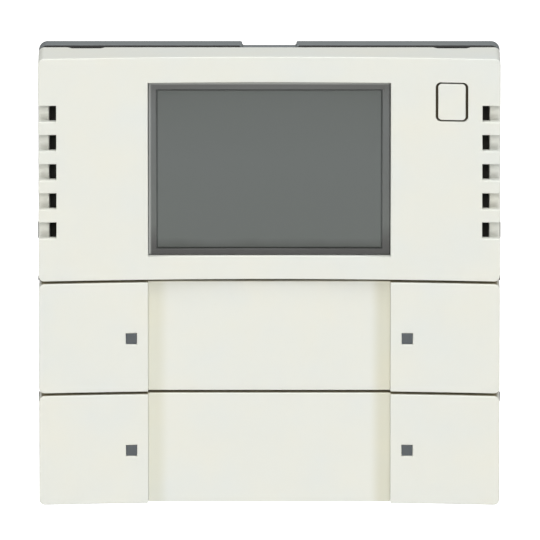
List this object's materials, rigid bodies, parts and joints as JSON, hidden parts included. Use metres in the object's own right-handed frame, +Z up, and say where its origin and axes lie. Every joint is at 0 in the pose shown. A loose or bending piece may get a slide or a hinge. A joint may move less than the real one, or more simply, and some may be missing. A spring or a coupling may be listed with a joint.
{
  "type": "wall thermostat",
  "caption": "Flush room temperature controller: dished square centre plate with a display, vent slots, a small key and two wide rockers over a grey rear housing.",
  "frame": {"origin": "middle of the grey flange's rear face, the plane that rests on the wall box's support ring", "axes": "+X to the right seen from the room, +Y into the wall, +Z up"},
  "size_m": [0.0634, 0.0246, 0.063],
  "materials": {
    "ivory_plastic": "fine moulded satin, ivory white",
    "housing_grey": "matt moulded, mid grey",
    "black_plastic": "matt moulded, black",
    "bezel_grey": "matt, warm grey",
    "display_glass": "unlit grey liquid crystal display under clear glass",
    "smoked_window": "smoked translucent, satin",
    "clear_acrylic": "frosted light guide",
    "board_laminate": "green solder mask",
    "contact_rubber": "layered contact rubber",
    "lamp_white": "moulded lamp body",
    "spring_steel": "drawn or rolled spring steel",
    "switch_steel": "stamped, satin",
    "screw_steel": "zinc-plated",
    "chip_black": "moulded chip package",
    "capacitor_can": "sleeved can",
    "sensor_bead": "dipped epoxy bead",
    "pin_gold": "gold-flashed contact pins"
  },
  "bodies": {
    "root": {"rear_housing": "housing_grey", "chassis": "black_plastic", "main_board": "board_laminate", "display_cover": "ivory_plastic", "display_bezel": "bezel_grey", "lcd_cell": "display_glass", "backlight_guide": "clear_acrylic", "display_frame": "black_plastic", "contact_strip": "contact_rubber", "backlight_lamps": "lamp_white", "key_spring": "spring_steel", "key_switch": "switch_steel", "microcontroller": "chip_black", "bus_transceiver": "chip_black", "buffer_capacitor": "capacitor_can", "quartz_crystal": "switch_steel", "sensor_board": "board_laminate", "temperature_sensor": "sensor_bead", "bus_connector": "black_plastic", "connector_pins": "pin_gold", "retaining_clip_left": "spring_steel", "retaining_clip_right": "spring_steel", "housing_screws": "screw_steel", "upper_pivot_pin": "screw_steel", "lower_pivot_pin": "screw_steel", "plunger_spring_upper_left": "spring_steel", "rocker_switch_upper_left": "switch_steel", "status_lamp_upper_left": "lamp_white", "plunger_spring_upper_right": "spring_steel", "rocker_switch_upper_right": "switch_steel", "status_lamp_upper_right": "lamp_white", "plunger_spring_lower_left": "spring_steel", "rocker_switch_lower_left": "switch_steel", "status_lamp_lower_left": "lamp_white", "plunger_spring_lower_right": "spring_steel", "rocker_switch_lower_right": "switch_steel", "status_lamp_lower_right": "lamp_white"},
    "upper_rocker": {"upper_rocker": "ivory_plastic", "upper_label_field": "ivory_plastic", "status_window_upper_left": "smoked_window", "status_window_upper_right": "smoked_window"},
    "lower_rocker": {"lower_rocker": "ivory_plastic", "lower_label_field": "ivory_plastic", "status_window_lower_left": "smoked_window", "status_window_lower_right": "smoked_window"},
    "function_key": {"function_key": "ivory_plastic"},
    "plunger_upper_left": {"plunger_upper_left": "black_plastic"},
    "plunger_upper_right": {"plunger_upper_right": "black_plastic"},
    "plunger_lower_left": {"plunger_lower_left": "black_plastic"},
    "plunger_lower_right": {"plunger_lower_right": "black_plastic"}
  },
  "joints": [
    {"name": "upper_rocker_tilt", "type": "hinge", "parent": "root", "child": "upper_rocker", "pos_m": [0, -0.0053, -0.00783], "axis": [0, 0, 1], "range_deg": [-1, 1], "stiffness_Nm_per_rad": 3.5},
    {"name": "lower_rocker_tilt", "type": "hinge", "parent": "root", "child": "lower_rocker", "pos_m": [0, -0.0053, -0.02361], "axis": [0, 0, 1], "range_deg": [-1, 1], "stiffness_Nm_per_rad": 3.5},
    {"name": "function_key_press", "type": "slide", "parent": "root", "child": "function_key", "axis": [0, 1, 0], "range_m": [0, 0.0004], "stiffness_N_per_m": 4000, "deforming": ["key_spring"]},
    {"name": "plunger_upper_left_slide", "type": "slide", "parent": "root", "child": "plunger_upper_left", "axis": [0, 1, 0], "range_m": [-0.0004, 0.0004], "deforming": ["plunger_spring_upper_left"]},
    {"name": "plunger_upper_right_slide", "type": "slide", "parent": "root", "child": "plunger_upper_right", "axis": [0, 1, 0], "range_m": [-0.0004, 0.0004], "deforming": ["plunger_spring_upper_right"]},
    {"name": "plunger_lower_left_slide", "type": "slide", "parent": "root", "child": "plunger_lower_left", "axis": [0, 1, 0], "range_m": [-0.0004, 0.0004], "deforming": ["plunger_spring_lower_left"]},
    {"name": "plunger_lower_right_slide", "type": "slide", "parent": "root", "child": "plunger_lower_right", "axis": [0, 1, 0], "range_m": [-0.0004, 0.0004], "deforming": ["plunger_spring_lower_right"]}
  ],
  "couplings": [
    {"joint": "plunger_upper_left_slide", "follows": "upper_rocker_tilt", "m_per_rad": -0.0228},
    {"joint": "plunger_upper_right_slide", "follows": "upper_rocker_tilt", "m_per_rad": 0.0228},
    {"joint": "plunger_lower_left_slide", "follows": "lower_rocker_tilt", "m_per_rad": -0.0228},
    {"joint": "plunger_lower_right_slide", "follows": "lower_rocker_tilt", "m_per_rad": 0.0228}
  ]
}
